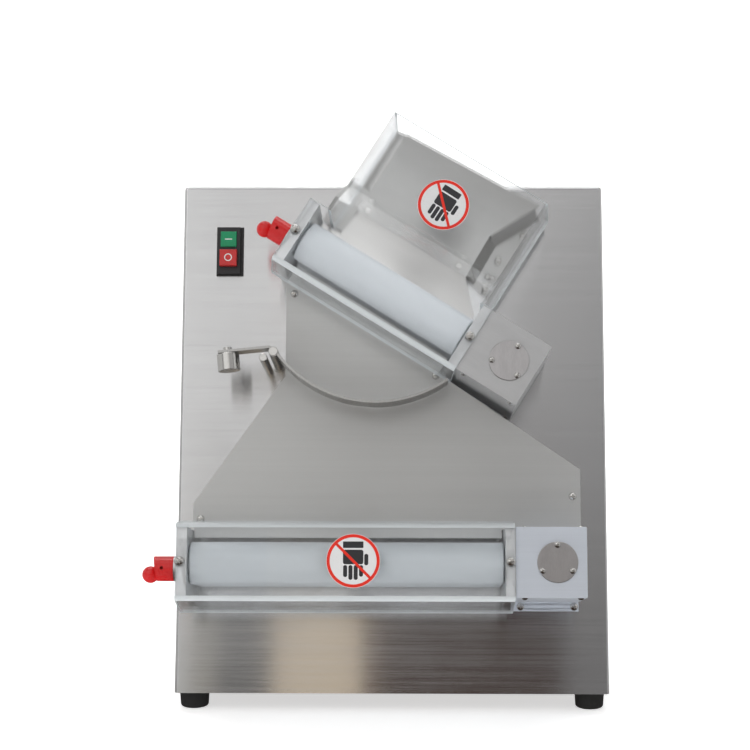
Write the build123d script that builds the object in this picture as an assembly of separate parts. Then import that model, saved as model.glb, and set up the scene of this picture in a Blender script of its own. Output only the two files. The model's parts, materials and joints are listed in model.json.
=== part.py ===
from build123d import *
import math
import os

os.makedirs("parts", exist_ok=True)

# Two-stage dough sheeter.  Millimetres, +Z up, the working face looks towards -Y.
# The face leans back, so most pieces are laid out in the "face frame":
#   X to the right, Y up along the sloping face, Z square out of it towards the user.
# Each roller unit has its own frame: a along the rollers, b across them, c out of the face.

# ---- cabinet -------------------------------------------------------------
BODY_W = 424.0          # cabinet width
BODY_H = 491.0          # cabinet height above the feet
LEAN = 15.0             # the face leans back by this angle, degrees
BASE_D = 330.0          # cabinet depth at the floor
SHEET = 1.5             # stainless sheet thickness
BEND_R = 3.5            # outside radius of the folded cabinet edges
FOOT_H = 18.0
FOOT_R = 14.8
FOOT_INSET_X = 17.5
FOOT_INSET_Y = 22.0

# ---- roller units --------------------------------------------------------
UNIT_H = 66.0           # height of the end blocks across the rollers
UNIT_D = 100.0          # how far the end blocks stand out of the face
BLOCK_L = 10.0          # left end block thickness
BLOCK_R = 9.5           # right end block thickness
GEARBOX_W = 66.5
LOWER_SPAN = 298.0      # clear width between the lower end blocks
UPPER_SPAN = 185.5      # clear width between the upper end blocks
ROLLER_R = 20.0
LOWER_END_GAP = 1.0     # roller end to block
UPPER_END_GAP = 1.75
REAR_C = 29.0           # rear roller axis, out of the face
FRONT_C = 72.0          # front roller axis, out of the face
AXIS_B = 33.0           # both roller axes, across the unit
ECC = 5.3               # throw of the gap eccentric
GAP_TURN = 22.0         # the gap knob turns this far each way
UPPER_TILT = 32.0       # the upper unit is turned clockwise by this angle
LOWER_AT = (-201.0, 89.0)
UPPER_AT = (-113.0, 413.7)

# ---- gears ---------------------------------------------------------------
TEETH = 14
GEAR_TIP_R = 23.0
GEAR_ROOT_R = 16.9
GEAR_FACE = 11.0
BEVEL_R = 14.0          # pitch radius of the mitre gears
BEVEL_TEETH = 14
PULLEY_R = 30.0
MOTOR_PULLEY_R = 20.0
BELT_T = 2.5
BELT_W = 8.0
MOTOR_AT = (20.0, 200.0)

# ---- guards --------------------------------------------------------------
GUARD_T = 3.0
LOWER_LIP = 10.0
UPPER_LIP = 6.0
LIP_C = 52.0            # the lower lip ends this far out of the face
FEED_C = 58.0           # the sheet stops here above the rollers' feed, clear of the chute plate
HOOD_B = 187.3          # top of the upper hood, across the unit
HOOD_C = 82.0           # front of the upper hood, out of the face
HOOD_A0 = 19.0
HOOD_A1 = 194.5
HOOD_BACK = 20.6
HOP_GAP = 3.0           # the hopper plate starts this far above the end blocks

# ---- chute and pendulum --------------------------------------------------
CHUTE_C = 48.0          # front of the chute plate, out of the face
ARC_R = 119.0
ARC_C = (-15.5, 394.5)
PIVOT = (-113.6, 323.8)
STOP = (-123.3, 318.0)
STRIP_T = 2.5
STRIP_C0 = 52.0
STRIP_C1 = 84.0

# ---- holes and fits ------------------------------------------------------
RUN = 0.05              # radial clearance of a running fit
M4 = 2.0
M5 = 2.5
M6 = 3.0


def box(x0, x1, y0, y1, z0, z1):
    solid = Box(x1 - x0, y1 - y0, z1 - z0)
    return Pos((x0 + x1) / 2, (y0 + y1) / 2, (z0 + z1) / 2) * solid


def cyl_z(x, y, z0, z1, r):
    return Pos(x, y, (z0 + z1) / 2) * Cylinder(r, z1 - z0)


def cyl_x(y, z, x0, x1, r):
    return Pos((x0 + x1) / 2, y, z) * Rot(0, 90, 0) * Cylinder(r, x1 - x0)


def cyl_y(x, z, y0, y1, r):
    return Pos(x, (y0 + y1) / 2, z) * Rot(90, 0, 0) * Cylinder(r, y1 - y0)


def plate(points, z0, z1):
    """A flat sheet with this outline, between two heights."""
    outline = make_face(Polyline(*points, close=True))
    return Pos(0, 0, z0) * extrude(outline, amount=z1 - z0)


def prism_x(points, x0, x1):
    """Extrude an outline given as (y, z) along X."""
    outline = make_face(Polyline(*points, close=True))
    return Pos(x0, 0, 0) * Rot(0, 90, 0) * Rot(0, 0, 90) * extrude(outline, amount=x1 - x0)


def pan_head(r, h):
    """A domed screw head standing on z = 0."""
    dome = Pos(0, 0, h - (r * r + h * h) / (2 * h)) * Sphere((r * r + h * h) / (2 * h))
    head = dome & box(-r, r, -r, r, 0, h)
    cross = box(-r * 0.52, r * 0.52, -r * 0.1, r * 0.1, h * 0.35, h)
    return head - cross - Rot(0, 0, 90) * cross


def screw(shank_r, length, head_r, head_h):
    """A pan head cross-recess screw, head on z = 0, shank going down."""
    return pan_head(head_r, head_h) + cyl_z(0, 0, -length, 0, shank_r)


def spur(teeth, root_r, tip_r, width, bore_r, phase):
    """A coarse long-tooth gear lying on z = 0, a tooth centred at angle phase."""
    pitch_r = (root_r + tip_r) / 2
    half_pitch = math.radians(360.0 / teeth) * 0.20
    flank = math.radians(3.1)
    points = []
    for i in range(teeth):
        mid = math.radians(phase + i * 360.0 / teeth)
        for r, half in ((root_r, half_pitch + flank), (pitch_r, half_pitch),
                        (tip_r, half_pitch - flank * 1.35)):
            points.append((r * math.cos(mid - half), r * math.sin(mid - half)))
        for r, half in ((tip_r, half_pitch - flank * 1.35), (pitch_r, half_pitch),
                        (root_r, half_pitch + flank)):
            points.append((r * math.cos(mid + half), r * math.sin(mid + half)))
    return plate(points, 0, width) - cyl_z(0, 0, -1, width + 1, bore_r)


def mitre(bore_r, phase):
    """A straight mitre gear; the apex of its pitch cone is the origin, its body is up +Z."""
    big = BEVEL_R
    small = 9.0 / 14.0
    add = 2.0
    ded = 2.4
    c45 = math.cos(math.radians(45))
    root = (big - ded * c45, big + ded * c45)
    profile = [(bore_r, root[1] * small), (root[0] * small, root[1] * small), root,
               (root[0] - 2.0, root[1] + 2.0), (bore_r, root[1] + 2.0)]
    ring = make_face(Polyline(*profile, close=True))
    gear = revolve(Rot(90, 0, 0) * ring, Axis.Z)
    half = math.pi * big / BEVEL_TEETH * 0.35
    for i in range(BEVEL_TEETH):
        ends = []
        for s in (1.0, small):
            quad = []
            for h, w in ((-ded - 0.35, half + 0.95), (add, half - 0.62)):
                r = (big + h * c45) * s
                z = (big - h * c45) * s
                quad.append((r, w * s, z))
            quad = [quad[0], quad[1], (quad[1][0], -quad[1][1], quad[1][2]),
                    (quad[0][0], -quad[0][1], quad[0][2])]
            ends.append(make_face(Polyline(*quad, close=True)))
        tooth = loft([ends[0], ends[1]], ruled=True)
        gear += Rot(0, 0, phase + i * 360.0 / BEVEL_TEETH) * tooth
    return gear


def loop_area(p, rp, q, rq):
    """The area inside a belt that runs round two circles."""
    d = math.dist(p, q)
    theta = math.atan2(q[1] - p[1], q[0] - p[0])
    phi = math.acos((rp - rq) / d)
    corners = []
    for centre, r, s in ((p, rp, 1), (q, rq, 1), (q, rq, -1), (p, rp, -1)):
        ang = theta + s * phi
        corners.append((centre[0] + r * math.cos(ang), centre[1] + r * math.sin(ang)))
    area = make_face(Polyline(*corners, close=True))
    area += Pos(p[0], p[1]) * Circle(rp)
    area += Pos(q[0], q[1]) * Circle(rq)
    return area


# ---- frames --------------------------------------------------------------
FACE = Location(Plane(origin=(0, 0, FOOT_H), x_dir=(1, 0, 0),
                      z_dir=(0, -math.cos(math.radians(LEAN)), math.sin(math.radians(LEAN)))))
LOWER = FACE * Pos(LOWER_AT[0], LOWER_AT[1], 0)
UPPER = FACE * Pos(UPPER_AT[0], UPPER_AT[1], 0) * Rot(0, 0, -UPPER_TILT)
FACE_H = BODY_H / math.cos(math.radians(LEAN))

UNITS = (("lower", LOWER, LOWER_SPAN, LOWER_END_GAP), ("upper", UPPER, UPPER_SPAN, UPPER_END_GAP))


def gear_a(span):
    """Where the spur gears start along a unit."""
    return BLOCK_L + span + BLOCK_R + 1.5


def drive_a(span):
    """Where the drive shaft stands along a unit."""
    return BLOCK_L + span + BLOCK_R + 38.9


def to_face(a, b):
    """A point of the upper unit's frame, in the face frame."""
    t = math.radians(UPPER_TILT)
    x = UPPER_AT[0] + a * math.cos(t) + b * math.sin(t)
    y = UPPER_AT[1] - a * math.sin(t) + b * math.cos(t)
    return (x, y)


nodes = {}

# ---- cabinet -------------------------------------------------------------
back_top = math.tan(math.radians(LEAN)) * BODY_H
side = [(0, FOOT_H), (back_top, FOOT_H + BODY_H), (BASE_D, FOOT_H + BODY_H), (BASE_D, FOOT_H)]
outer = prism_x(side, -BODY_W / 2, BODY_W / 2)
sharp = [e for e in outer.edges() if e.center().Y < BASE_D - 1 and e.center().Z > FOOT_H + 1]
outer = fillet(sharp, BEND_R)
t = SHEET
slope = 1 / math.cos(math.radians(LEAN))
inner_side = [(t * slope, FOOT_H - 5), (t * slope, FOOT_H),
              (back_top + t * slope - t * math.tan(math.radians(LEAN)), FOOT_H + BODY_H - t),
              (BASE_D + 5, FOOT_H + BODY_H - t), (BASE_D + 5, FOOT_H - 5)]
inner = prism_x(inner_side, -BODY_W / 2 + t, BODY_W / 2 - t)
rounded = [e for e in inner.edges() if e.center().Y < BASE_D and e.center().Z > FOOT_H + 1]
inner = fillet(rounded, BEND_R - t)
shell = outer - inner

# base plate between the cabinet walls; the feet screw into it
floor_z = FOOT_H + 2.5
base = box(-BODY_W / 2 + t, BODY_W / 2 - t, 3.0, BASE_D - t, floor_z - 2.5, floor_z) & inner
for sx in (-1, 1):
    for y in (FOOT_INSET_Y, BASE_D - FOOT_INSET_Y):
        base -= cyl_z(sx * (BODY_W / 2 - FOOT_INSET_X), y, 0, 60, M5)

feet = None
for sx in (-1, 1):
    for y in (FOOT_INSET_Y, BASE_D - FOOT_INSET_Y):
        x = sx * (BODY_W / 2 - FOOT_INSET_X)
        pad = Pos(x, y, FOOT_H / 2) * Cone(FOOT_R - 1.2, FOOT_R, FOOT_H)
        rim = [e for e in pad.edges() if e.center().Z < 0.5 and e.length > 40]
        pad = fillet(rim, 2.5) + cyl_z(x, y, FOOT_H, FOOT_H + 8, M5)
        feet = pad if feet is None else feet + pad

cover_top = FOOT_H + BODY_H - t - 0.4
cover = box(-BODY_W / 2 + t + 0.4, BODY_W / 2 - t - 0.4, BASE_D - t, BASE_D, FOOT_H, cover_top)
cover = fillet([e for e in cover.edges() if e.length < 2 and e.center().Z > cover_top - 1], BEND_R)
for row in range(12):
    z = 330 + row * 11.0
    for x in (-95, 0, 95):
        cover -= box(x - 36, x + 36, BASE_D - 5, BASE_D + 5, z, z + 4.5)

# folded ledges inside the cabinet carry the rear cover
ledge = box(-BODY_W / 2 + t, -BODY_W / 2 + 16, BASE_D - 2 * t, BASE_D - t, FOOT_H + 4, FOOT_H + BODY_H - t)
ledge += box(BODY_W / 2 - 16, BODY_W / 2 - t, BASE_D - 2 * t, BASE_D - t, FOOT_H + 4, FOOT_H + BODY_H - t)
shell += ledge
cover_screws = []
for sx in (-1, 1):
    for z in (60, 265, 480):
        x = sx * (BODY_W / 2 - 9)
        shell -= cyl_y(x, z, BASE_D - 10, BASE_D, M4)
        cover -= cyl_y(x, z, BASE_D - 10, BASE_D + 5, M4)
        cover_screws.append(Pos(x, BASE_D, z) * Rot(-90, 0, 0) * screw(M4, 6, 3.6, 2.4))

# power inlet low on the back
inlet_x = -120.0
inlet_z = 70.0
cover -= box(inlet_x - 14, inlet_x + 14, BASE_D - 5, BASE_D + 5, inlet_z - 10, inlet_z + 10)
inlet = box(inlet_x - 14, inlet_x + 14, BASE_D - 22, BASE_D, inlet_z - 10, inlet_z + 10)
inlet += box(inlet_x - 24, inlet_x + 24, BASE_D, BASE_D + 3, inlet_z - 13, inlet_z + 13)
inlet -= box(inlet_x - 11, inlet_x + 11, BASE_D - 16, BASE_D + 5, inlet_z - 7, inlet_z + 7)
for dx in (-7, 0, 7):
    inlet += box(inlet_x + dx - 1, inlet_x + dx + 1, BASE_D - 17, BASE_D - 4, inlet_z - 2.5, inlet_z + 2.5)

# ---- chute plate and its standoffs ---------------------------------------
standoff_at = [(-96.0, 387.6), (42.7, 306.2), (174.4, 188.6), (-184.3, 166.0)]
LOW_TOP = LOWER_AT[1] + UNIT_H
chute_left = LOWER_AT[0] + BLOCK_L + 1.0
chute_right = LOWER_AT[0] + BLOCK_L + LOWER_SPAN - 1.0
outline = [(-104.0, 398.3), to_face(16, 12), to_face(190, 12), to_face(190, -6), (61.4, 297.4),
           (182.0, 214.6), (182.0, LOW_TOP + 1.0), (chute_right, LOW_TOP + 1.0), (chute_right, LOW_TOP - 7),
           (chute_left, LOW_TOP - 7), (chute_left, LOW_TOP + 1.0), (-191.5, LOW_TOP + 1.0), (-191.5, 181.0),
           (-104.0, 305.8)]
chute = plate(outline, CHUTE_C - SHEET, CHUTE_C)
standoffs = None
panel_screws = None
for x, y in standoff_at:
    chute -= cyl_z(x, y, 40, 55, M4)
    post = extrude(Pos(x, y) * RegularPolygon(5.2, 6), amount=CHUTE_C - SHEET)
    post -= cyl_z(x, y, CHUTE_C - SHEET - 10, CHUTE_C, M4)
    standoffs = post if standoffs is None else standoffs + post
    s = Pos(x, y, CHUTE_C) * screw(M4, 8, 3.9, 2.6)
    panel_screws = s if panel_screws is None else panel_screws + s

# ---- pendulum ------------------------------------------------------------
pivot_post = cyl_z(*PIVOT, 0, STRIP_C1 + 1.5, 2.85)
pivot_post += cyl_z(*PIVOT, 0, 3.0, 6.5)
pivot_post += cyl_z(*PIVOT, STRIP_C1 + 0.2, STRIP_C1 + 1.5, 3.9)
stop_post = cyl_z(*STOP, 0, STRIP_C1, 4.0)
stop_rim = [e for e in stop_post.edges() if e.center().Z > STRIP_C1 - 1]
stop_post = chamfer(stop_rim, 0.6)

arc_start = -144.2
arc_end = -54.5
ring = Circle(ARC_R + STRIP_T / 2) - Circle(ARC_R - STRIP_T / 2)
wedge = [(0, 0)]
for i in range(13):
    ang = math.radians(arc_start + (arc_end - arc_start) * i / 12)
    wedge.append((170 * math.cos(ang), 170 * math.sin(ang)))
ring = Pos(*ARC_C) * (ring & make_face(Polyline(*wedge, close=True)))
pendulum = Pos(0, 0, STRIP_C0) * extrude(ring, amount=STRIP_C1 - STRIP_C0)
pendulum += cyl_z(*PIVOT, 3.2, STRIP_C1, 4.75)
arm = plate([(-113.6, 325.6), (-113.6, 328.3), (-118.0, 330.1), (-167.0, 325.1), (-167.0, 322.6),
             (-118.0, 327.6)], 62, 82)
pendulum += arm
pendulum -= cyl_z(*PIVOT, 0, 100, 2.85 + RUN)
arm_tilt = math.degrees(math.atan2(5.0, 49.0))
weight_loc = Pos(-158.3, 323.4875, 72) * Rot(0, 0, arm_tilt)
weight = weight_loc * cyl_y(0, 0, -17.0, 0, 10.8)
weight_edges = [e for e in weight.edges() if e.length > 60]
weight = fillet(weight_edges, 0.8)
pendulum -= weight_loc * cyl_y(0, 0, -1, 4, M5)
weight += weight_loc * cyl_y(0, 0, 0, 2.4875, M5)
weight += weight_loc * cyl_y(0, 0, 2.4875, 6.2, 4.1)

# ---- switch --------------------------------------------------------------
sw_x0, sw_x1, sw_y0, sw_y1 = -178.0, -150.8, 415.4, 465.5
switch = box(sw_x0, sw_x1, sw_y0, sw_y1, 0, 3.0)
lip = [e for e in switch.edges() if e.center().Z > 2.9]
switch = fillet(lip, 1.2)
switch += box(-176.9, -153.9, 416.6, 464.4, 0, 7.5)
switch += box(-175.6, -154.6, 418.0, 463.0, -34.0, 1)
green_box = (-173.6, -157.7, 443.8, 459.8)
red_box = (-174.1, -156.9, 424.0, 440.4)
for x0, x1, y0, y1 in (green_box, red_box):
    switch -= box(x0 - 0.15, x1 + 0.15, y0 - 0.15, y1 + 0.15, -5.0, 10)
shell -= FACE * box(-175.6, -154.6, 418.0, 463.0, -8, 0.5)


def button(bounds, top):
    cap = box(*bounds, 0.0, top)
    rim = [e for e in cap.edges() if e.center().Z > top - 0.01]
    return fillet(rim, 0.8)


start_button = button(green_box, 9.0)
stop_button = button(red_box, 13.0)

# ---- hopper --------------------------------------------------------------
hopper = plate([(31.5, 97), (31.5, 190), (184.1, 197.4), (157.7, 143.4), (159.1, 97)], 18.5, 20.0)
hopper_foot_b = UNIT_H + HOP_GAP
hopper += plate([(6.5, hopper_foot_b), (6.5, 99), (10.6, 119.3), (20.5, 120), (31.5, 120),
                 (31.5, hopper_foot_b)], 18.5, 20.0)
left_fold = [(32.5, 18.5), (32.5, 20.0), (31.0, 20.0), (21.2, 14.3), (22.0, 13.0), (31.5, 18.5)]
left_fold = extrude(make_face(Polyline(*left_fold, close=True)), amount=68.0)
hopper += Pos(0, 189.0, 0) * Rot(90, 0, 0) * left_fold
fold_n = (0.898, -0.442)
p_mid = (157.7, 143.4)
p_low = (159.1, 97.0)
reach = 9.5


def wall(p, q, nx, ny):
    """A side wall from an edge of the hopper plate back to the cabinet face, sloping outwards."""
    corners = [(p[0], p[1], 18.6), (q[0], q[1], 18.6),
               (q[0] + nx * reach, q[1] + ny * reach, SHEET - 0.1),
               (p[0] + nx * reach, p[1] + ny * reach, SHEET - 0.1)]
    return extrude(make_face(Polyline(*corners, close=True)), amount=1.4, dir=(-nx, -ny, 0))


hopper += wall(p_mid, p_low, 1.0, 0.03)
foot_outline = [(167.0, 95), (190.0, 90), (190.0, 176), (181.0, 172), (167.0, 146)]
foot = plate(foot_outline, 0, SHEET)
hopper += foot
hopper += wall((181.5, 192.0), (158.4, 145.0), *fold_n)
hopper_screw_at = [(184.7, 165.5), (181.7, 97.5), (176.8, 130.6), (176.8, 110.7)]
ramp_top_c = 17.0
ramp = plate([(33, 92), (157.0, 92), (157.0, 107), (33, 107)], ramp_top_c, 18.5)
s_len = math.hypot(97 - 54, 46 - 20)
lean = math.degrees(math.atan2(46 - 20, 97 - 54))
ramp_flat = [(33, 0), (158, 0), (189, -s_len * 0.80), (189, -s_len), (13, -s_len), (13, -s_len * 0.80),
             (33, -s_len * 0.76)]
ramp_sheet = plate(ramp_flat, -SHEET, 0)
ramp_sheet = Pos(0, 97, 20.0) * Rot(-lean, 0, 0) * ramp_sheet
ramp_sheet -= box(0, 200, 97, 120, 18.5, 30)
ramp_sheet -= box(0, 200, 96.9, 120, 16, 30)
ramp += ramp_sheet
ramp += prism_x([(98, 17), (98, 18.5), (97, 18.5), (97, 20), (95, 21.2), (95, 19.4), (96.5, 17)], 33, 157)
hopper -= cyl_z(40.7, 101.0, 15, 22, M4)
ramp -= cyl_z(40.7, 101.0, 15, 22, M4)
hopper -= cyl_z(148.0, 101.0, 15, 22, M4)
ramp -= cyl_z(148.0, 101.0, 15, 22, M4)
for a in (40.7, 148.0):
    post = extrude(Pos(a, 101.0) * RegularPolygon(5.2, 6), amount=ramp_top_c)
    post -= cyl_z(a, 101.0, ramp_top_c - 9, 30, M4)
    standoffs += Pos(UPPER_AT[0], UPPER_AT[1], 0) * Rot(0, 0, -UPPER_TILT) * post
    s = Pos(a, 101.0, 20.0) * screw(M4, 8, 3.9, 2.6)
    panel_screws += Pos(UPPER_AT[0], UPPER_AT[1], 0) * Rot(0, 0, -UPPER_TILT) * s
for a, b in hopper_screw_at:
    hopper -= cyl_z(a, b, -1, 3, M4)
    s = Pos(a, b, SHEET) * screw(M4, 8, 3.9, 2.6)
    panel_screws += Pos(UPPER_AT[0], UPPER_AT[1], 0) * Rot(0, 0, -UPPER_TILT) * s
    x, y = to_face(a, b)
    shell -= FACE * cyl_z(x, y, -3, 1, M4)

# ---- motor, plate and belts ----------------------------------------------
low_drive = (LOWER_AT[0] + drive_a(LOWER_SPAN), LOWER_AT[1] + AXIS_B)
up_drive = to_face(drive_a(UPPER_SPAN), AXIS_B)
LOW_BELT = -22.0        # middle of the lower belt, behind the face
UP_BELT = -36.0
motor_plate = box(-55, 110, 112, 285, -54, -50)
for x, y in ((-45, 122), (50, 122), (100, 205), (-45, 275)):
    motor_plate += cyl_z(x, y, -50, -SHEET, 6)
motor_plate -= cyl_z(*MOTOR_AT, -60, -40, 24)
motor = cyl_z(*MOTOR_AT, -214, -64, 45) + cyl_z(*MOTOR_AT, -64, -54, 52)
motor += cyl_z(*MOTOR_AT, -54, -50, 24)
motor += box(MOTOR_AT[0] + 30, MOTOR_AT[0] + 62, MOTOR_AT[1] - 28, MOTOR_AT[1] + 28, -170, -100)
for i in range(24):
    fin = box(44, 48, -1.2, 1.2, -195, -75)
    motor += Pos(*MOTOR_AT, 0) * Rot(0, 0, 7.5 + i * 15) * fin
motor -= cyl_z(*MOTOR_AT, -64, -40, 8 + RUN)
motor_pulley = cyl_z(*MOTOR_AT, -62, -14, 8)
for mid in (LOW_BELT, UP_BELT):
    motor_pulley += cyl_z(*MOTOR_AT, mid - 4.6, mid + 4.6, MOTOR_PULLEY_R)
    motor_pulley += cyl_z(*MOTOR_AT, mid - 6.0, mid - 4.6, MOTOR_PULLEY_R + 3)
    motor_pulley += cyl_z(*MOTOR_AT, mid + 4.6, mid + 6.0, MOTOR_PULLEY_R + 3)


def belt(at, mid):
    gap = 0.05
    area = loop_area(MOTOR_AT, MOTOR_PULLEY_R + gap + BELT_T, at, PULLEY_R + gap + BELT_T)
    area -= loop_area(MOTOR_AT, MOTOR_PULLEY_R + gap, at, PULLEY_R + gap)
    return Pos(0, 0, mid - BELT_W / 2) * extrude(area, amount=BELT_W)


lower_belt = belt(low_drive, LOW_BELT)
upper_belt = belt(up_drive, UP_BELT)

# ---- roller units --------------------------------------------------------
for name, loc, span, end_gap in UNITS:
    a_in = BLOCK_L + span               # inner face of the right block
    a_out = a_in + BLOCK_R              # outer face of the right block
    a_end = a_out + GEARBOX_W
    shaft_b = AXIS_B - ECC
    lip_drop = LOWER_LIP if name == "lower" else UPPER_LIP
    travel = 2.3
    win_b0, win_b1 = AXIS_B - 15, AXIS_B + 15
    win_c0, win_c1 = FRONT_C - 17 - travel, FRONT_C + 17 + travel

    # end blocks
    left = box(0, BLOCK_L, 0, UNIT_H, 0, UNIT_D)
    left += cyl_x(shaft_b, FRONT_C, -4.5, 0, 11.8)
    left -= box(2.5, BLOCK_L, win_b0, win_b1, win_c0, win_c1)
    left -= cyl_x(shaft_b, FRONT_C, -1.7, 3, 4 + RUN)
    left -= cyl_x(shaft_b, FRONT_C, -5, 0, 3 + RUN)
    left -= cyl_x(AXIS_B, REAR_C, 2.5, BLOCK_L, 8 + RUN)
    slot = SlotArc(CenterArc((0, 0), 5.6, 180 - GAP_TURN - 4, 2 * GAP_TURN + 8), 2 * 1.95)
    slot = extrude(slot, amount=3.0)
    right = box(a_in, a_out, 0, UNIT_H, 0, UNIT_D)
    right -= box(a_in, a_out, win_b0, win_b1, win_c0, win_c1)
    right -= cyl_x(AXIS_B, REAR_C, a_in, a_out, 8 + RUN)
    guard_screws = None
    block_screws = None
    for a, block_mid in ((3.4, BLOCK_L / 2), (a_out - 4.6, a_in + BLOCK_R / 2)):
        hole = cyl_z(a, AXIS_B, 93.5, UNIT_D, M5)
        left -= hole
        right -= hole
        s = Pos(a, AXIS_B, UNIT_D + GUARD_T) * Rot(0, 0, 20) * screw(M5, 9, 4.75, 3.4)
        guard_screws = s if guard_screws is None else guard_screws + s
        for b in (10, 56):
            hole = cyl_z(block_mid, b, -2, 14, M6)
            left -= hole
            right -= hole
            shell -= loc * hole
            bolt = cyl_z(block_mid, b, -SHEET, 12, M6) + cyl_z(block_mid, b, -SHEET - 5, -SHEET, 5)
            bolt -= extrude(Pos(block_mid, b, -SHEET - 5) * RegularPolygon(2.9, 6), amount=3)
            block_screws = bolt if block_screws is None else block_screws + bolt
    # the index pin runs in a curved slot cut in the boss, under the shaft
    slot_at = Pos(-4.5, shaft_b, FRONT_C) * Rot(0, 90, 0) * Rot(0, 0, 90)
    left -= slot_at * slot

    # sliding bearing blocks of the front roller
    carrier = box(2.6, BLOCK_L - 0.1, win_b0 + 0.1, win_b1 - 0.1, FRONT_C - 17, FRONT_C + 17)
    carrier -= cyl_x(AXIS_B, FRONT_C, 6.0, BLOCK_L, 13 + RUN)
    for b in (AXIS_B + 0.05, AXIS_B - 0.5):
        carrier -= cyl_x(b, FRONT_C, 2, 7, 10.55)
    carrier -= box(2, 6.0, AXIS_B - 0.5, AXIS_B + 0.05, FRONT_C - 10.55, FRONT_C + 10.55)
    far = box(a_in + 0.1, a_out - 0.1, win_b0 + 0.1, win_b1 - 0.1, FRONT_C - 17, FRONT_C + 17)
    far -= cyl_x(AXIS_B, FRONT_C, a_in, a_out, 13 + RUN)
    carriers = carrier + far

    # eccentric shaft through the hollow front roller
    shaft = cyl_x(shaft_b, FRONT_C, -1.6, a_end - 0.5, 4)
    shaft += cyl_x(shaft_b, FRONT_C, -18, -1.6, 3)
    shaft += cyl_x(AXIS_B, FRONT_C, 2.7, 5.9, 10.5)
    shaft += cyl_x(AXIS_B, FRONT_C, a_in + 1, a_in + 8, 10.5)

    # knob and its pull pin
    knob = cyl_x(shaft_b, FRONT_C, -23.5, -4.6, 11.8)
    knob -= Pos(-22.1, shaft_b, FRONT_C) * Rot(0, 0, 8) * box(-12, 0, -20, 20, -20, 20)
    ends = [e for e in knob.edges() if e.length > 60]
    knob = fillet(ends, 0.7)
    pin_b = shaft_b - 5.6
    knob -= cyl_x(shaft_b, FRONT_C, -18, 0, 3)
    knob -= cyl_x(pin_b, FRONT_C, -30, 0, 1.8 + RUN)
    knob -= cyl_z(-15.5, shaft_b, FRONT_C + 5, FRONT_C + 15, 1.6)
    knob -= Pos(-27.0, pin_b, FRONT_C) * Sphere(8.15)
    pull = cyl_x(pin_b, FRONT_C, -24, -2.0, 1.8)
    pull += Pos(-27.0, pin_b, FRONT_C) * Sphere(8)

    # rollers
    r0 = BLOCK_L + end_gap
    r1 = a_in - end_gap
    front = cyl_x(AXIS_B, FRONT_C, r0, r1, ROLLER_R)
    rims = [e for e in front.edges() if e.length > 60]
    front = chamfer(rims, 1.2)
    g0 = gear_a(span)
    front += cyl_x(AXIS_B, FRONT_C, 6.1, r0, 13)
    front += cyl_x(AXIS_B, FRONT_C, r1, g0 + GEAR_FACE + 1, 13)
    front -= cyl_x(AXIS_B, FRONT_C, 0, 500, 11)
    rear = cyl_x(AXIS_B, REAR_C, r0, r1, ROLLER_R)
    rims = [e for e in rear.edges() if e.length > 60]
    rear = chamfer(rims, 1.2)
    d_a = drive_a(span)
    rear += cyl_x(AXIS_B, REAR_C, 2.7, r0, 8)
    rear += cyl_x(AXIS_B, REAR_C, r1, d_a - 9.5, 5)
    rear += cyl_x(AXIS_B, REAR_C, r1, g0 + GEAR_FACE, 8)

    # spur gears: a tooth of the rear gear faces a space of the front gear
    turn = Rot(0, 90, 0) * Rot(0, 0, 90)
    rear_gear = Pos(g0, AXIS_B, REAR_C) * turn * spur(TEETH, GEAR_ROOT_R, GEAR_TIP_R, GEAR_FACE, 8, 90)
    front_gear = Pos(g0, AXIS_B, FRONT_C) * turn * spur(TEETH, GEAR_ROOT_R, GEAR_TIP_R, GEAR_FACE, 13,
                                                       90 + 180.0 / TEETH)

    # mitre gears: apex where the drive shaft meets the rear roller axis
    apex = Pos(d_a, AXIS_B, REAR_C)
    rear_bevel = apex * Rot(0, -90, 0) * mitre(5, 180)
    rear_gears = rear_gear + rear_bevel
    drive_bevel = apex * Rot(0, 180, 0) * mitre(5, 180.0 / BEVEL_TEETH)
    mid = LOW_BELT if name == "lower" else UP_BELT
    drive = cyl_z(d_a, AXIS_B, mid - 8, REAR_C - 9.5, 5)
    drive += cyl_z(d_a, AXIS_B, mid - 4.6, mid + 4.6, PULLEY_R)
    drive += cyl_z(d_a, AXIS_B, mid - 6.0, mid - 4.6, PULLEY_R + 3)
    drive += cyl_z(d_a, AXIS_B, mid + 4.6, mid + 6.0, PULLEY_R + 3)
    for k in range(5):
        ang = math.radians(72 * k)
        drive -= cyl_z(d_a + 18 * math.cos(ang), AXIS_B + 18 * math.sin(ang), mid - 10, mid + 10, 6.5)
    drive += drive_bevel

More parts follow.
